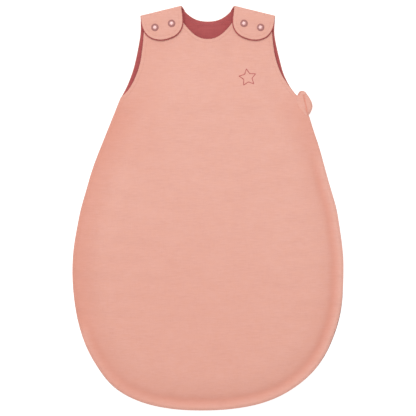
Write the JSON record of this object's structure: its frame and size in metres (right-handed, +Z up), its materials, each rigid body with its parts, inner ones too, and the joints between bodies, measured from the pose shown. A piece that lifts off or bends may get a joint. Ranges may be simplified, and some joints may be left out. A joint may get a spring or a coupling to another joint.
{
  "type": "baby sleeping bag",
  "caption": "Padded pear-shaped baby sleeping bag, laid flat, with snap-down shoulder tabs, round neck, open armholes and a zip down one side and round the foot.",
  "frame": {"origin": "middle of the bag's outline, on the surface it lies on", "axes": "+X across the bag, towards the zip side; +Y from the foot to the shoulders; +Z up, out of the front panel"},
  "size_m": [0.4329, 0.6465, 0.0312],
  "materials": {
    "peach_jersey": "soft matte cotton jersey, lightly heathered peach",
    "rose_lining": "matte cotton jersey, dark rose",
    "wadding": "off-white polyester fibre wadding",
    "zip_tape": "woven polyester tape, peach",
    "zip_coil": "nylon coil, peach",
    "zip_metal": "plated zinc, lightly polished",
    "snap_pearl": "pearlescent pink cap",
    "snap_metal": "nickel-plated brass",
    "rose_thread": "embroidery thread, dark rose, slight sheen"
  },
  "bodies": {
    "bag": {"back_shell": "peach_jersey", "back_wadding": "wadding", "back_lining": "rose_lining", "front_bodice_shell": "peach_jersey", "front_bodice_wadding": "wadding", "front_bodice_lining": "rose_lining", "side_seam_tape": "rose_lining", "zip_tape_back": "zip_tape", "zip_tape_bodice": "zip_tape", "zip_coil_back": "zip_coil", "zip_coil_bodice": "zip_coil", "zip_top_stops": "zip_coil", "zip_bottom_stop": "zip_coil", "zip_garage": "peach_jersey", "left_snap_studs": "snap_metal", "left_snap_posts": "snap_metal", "right_snap_studs": "snap_metal", "right_snap_posts": "snap_metal", "chest_embroidery": "rose_thread"},
    "front_flap": {"front_flap_shell": "peach_jersey", "front_flap_wadding": "wadding", "front_flap_lining": "rose_lining", "zip_tape_flap": "zip_tape", "zip_coil_flap": "zip_coil"},
    "tab_left": {"left_tab_shell": "peach_jersey", "left_tab_interlining": "wadding", "left_tab_lining": "rose_lining", "left_snap_caps": "snap_pearl", "left_snap_sockets": "snap_metal"},
    "tab_right": {"right_tab_shell": "peach_jersey", "right_tab_interlining": "wadding", "right_tab_lining": "rose_lining", "right_snap_caps": "snap_pearl", "right_snap_sockets": "snap_metal"},
    "zip_slider": {"zip_slider": "zip_metal"},
    "zip_pull": {"zip_pull": "zip_metal"}
  },
  "joints": [
    {"name": "flap_fold", "type": "hinge", "parent": "bag", "child": "front_flap", "pos_m": [-0.0045, -0.06525, 0.0319], "axis": [-0.6731, -0.7396, 0], "range_deg": [0, 178]},
    {"name": "tab_left_fold", "type": "hinge", "parent": "bag", "child": "tab_left", "pos_m": [-0.07525, 0.31515, 0.0113], "axis": [-0.9711, -0.2387, 0], "range_deg": [0, 174]},
    {"name": "tab_right_fold", "type": "hinge", "parent": "bag", "child": "tab_right", "pos_m": [0.07525, 0.31515, 0.0113], "axis": [-0.9711, 0.2387, 0], "range_deg": [0, 174]},
    {"name": "slider_travel", "type": "hinge", "parent": "bag", "child": "zip_slider", "pos_m": [-0.399, -0.1134, 0.0115], "axis": [0, 0, -1], "range_deg": [0, 29.44]},
    {"name": "pull_swing", "type": "hinge", "parent": "zip_slider", "child": "zip_pull", "pos_m": [0.15531, 0.14563, 0.0115], "axis": [0, 0, 1], "range_deg": [0, 75]}
  ]
}
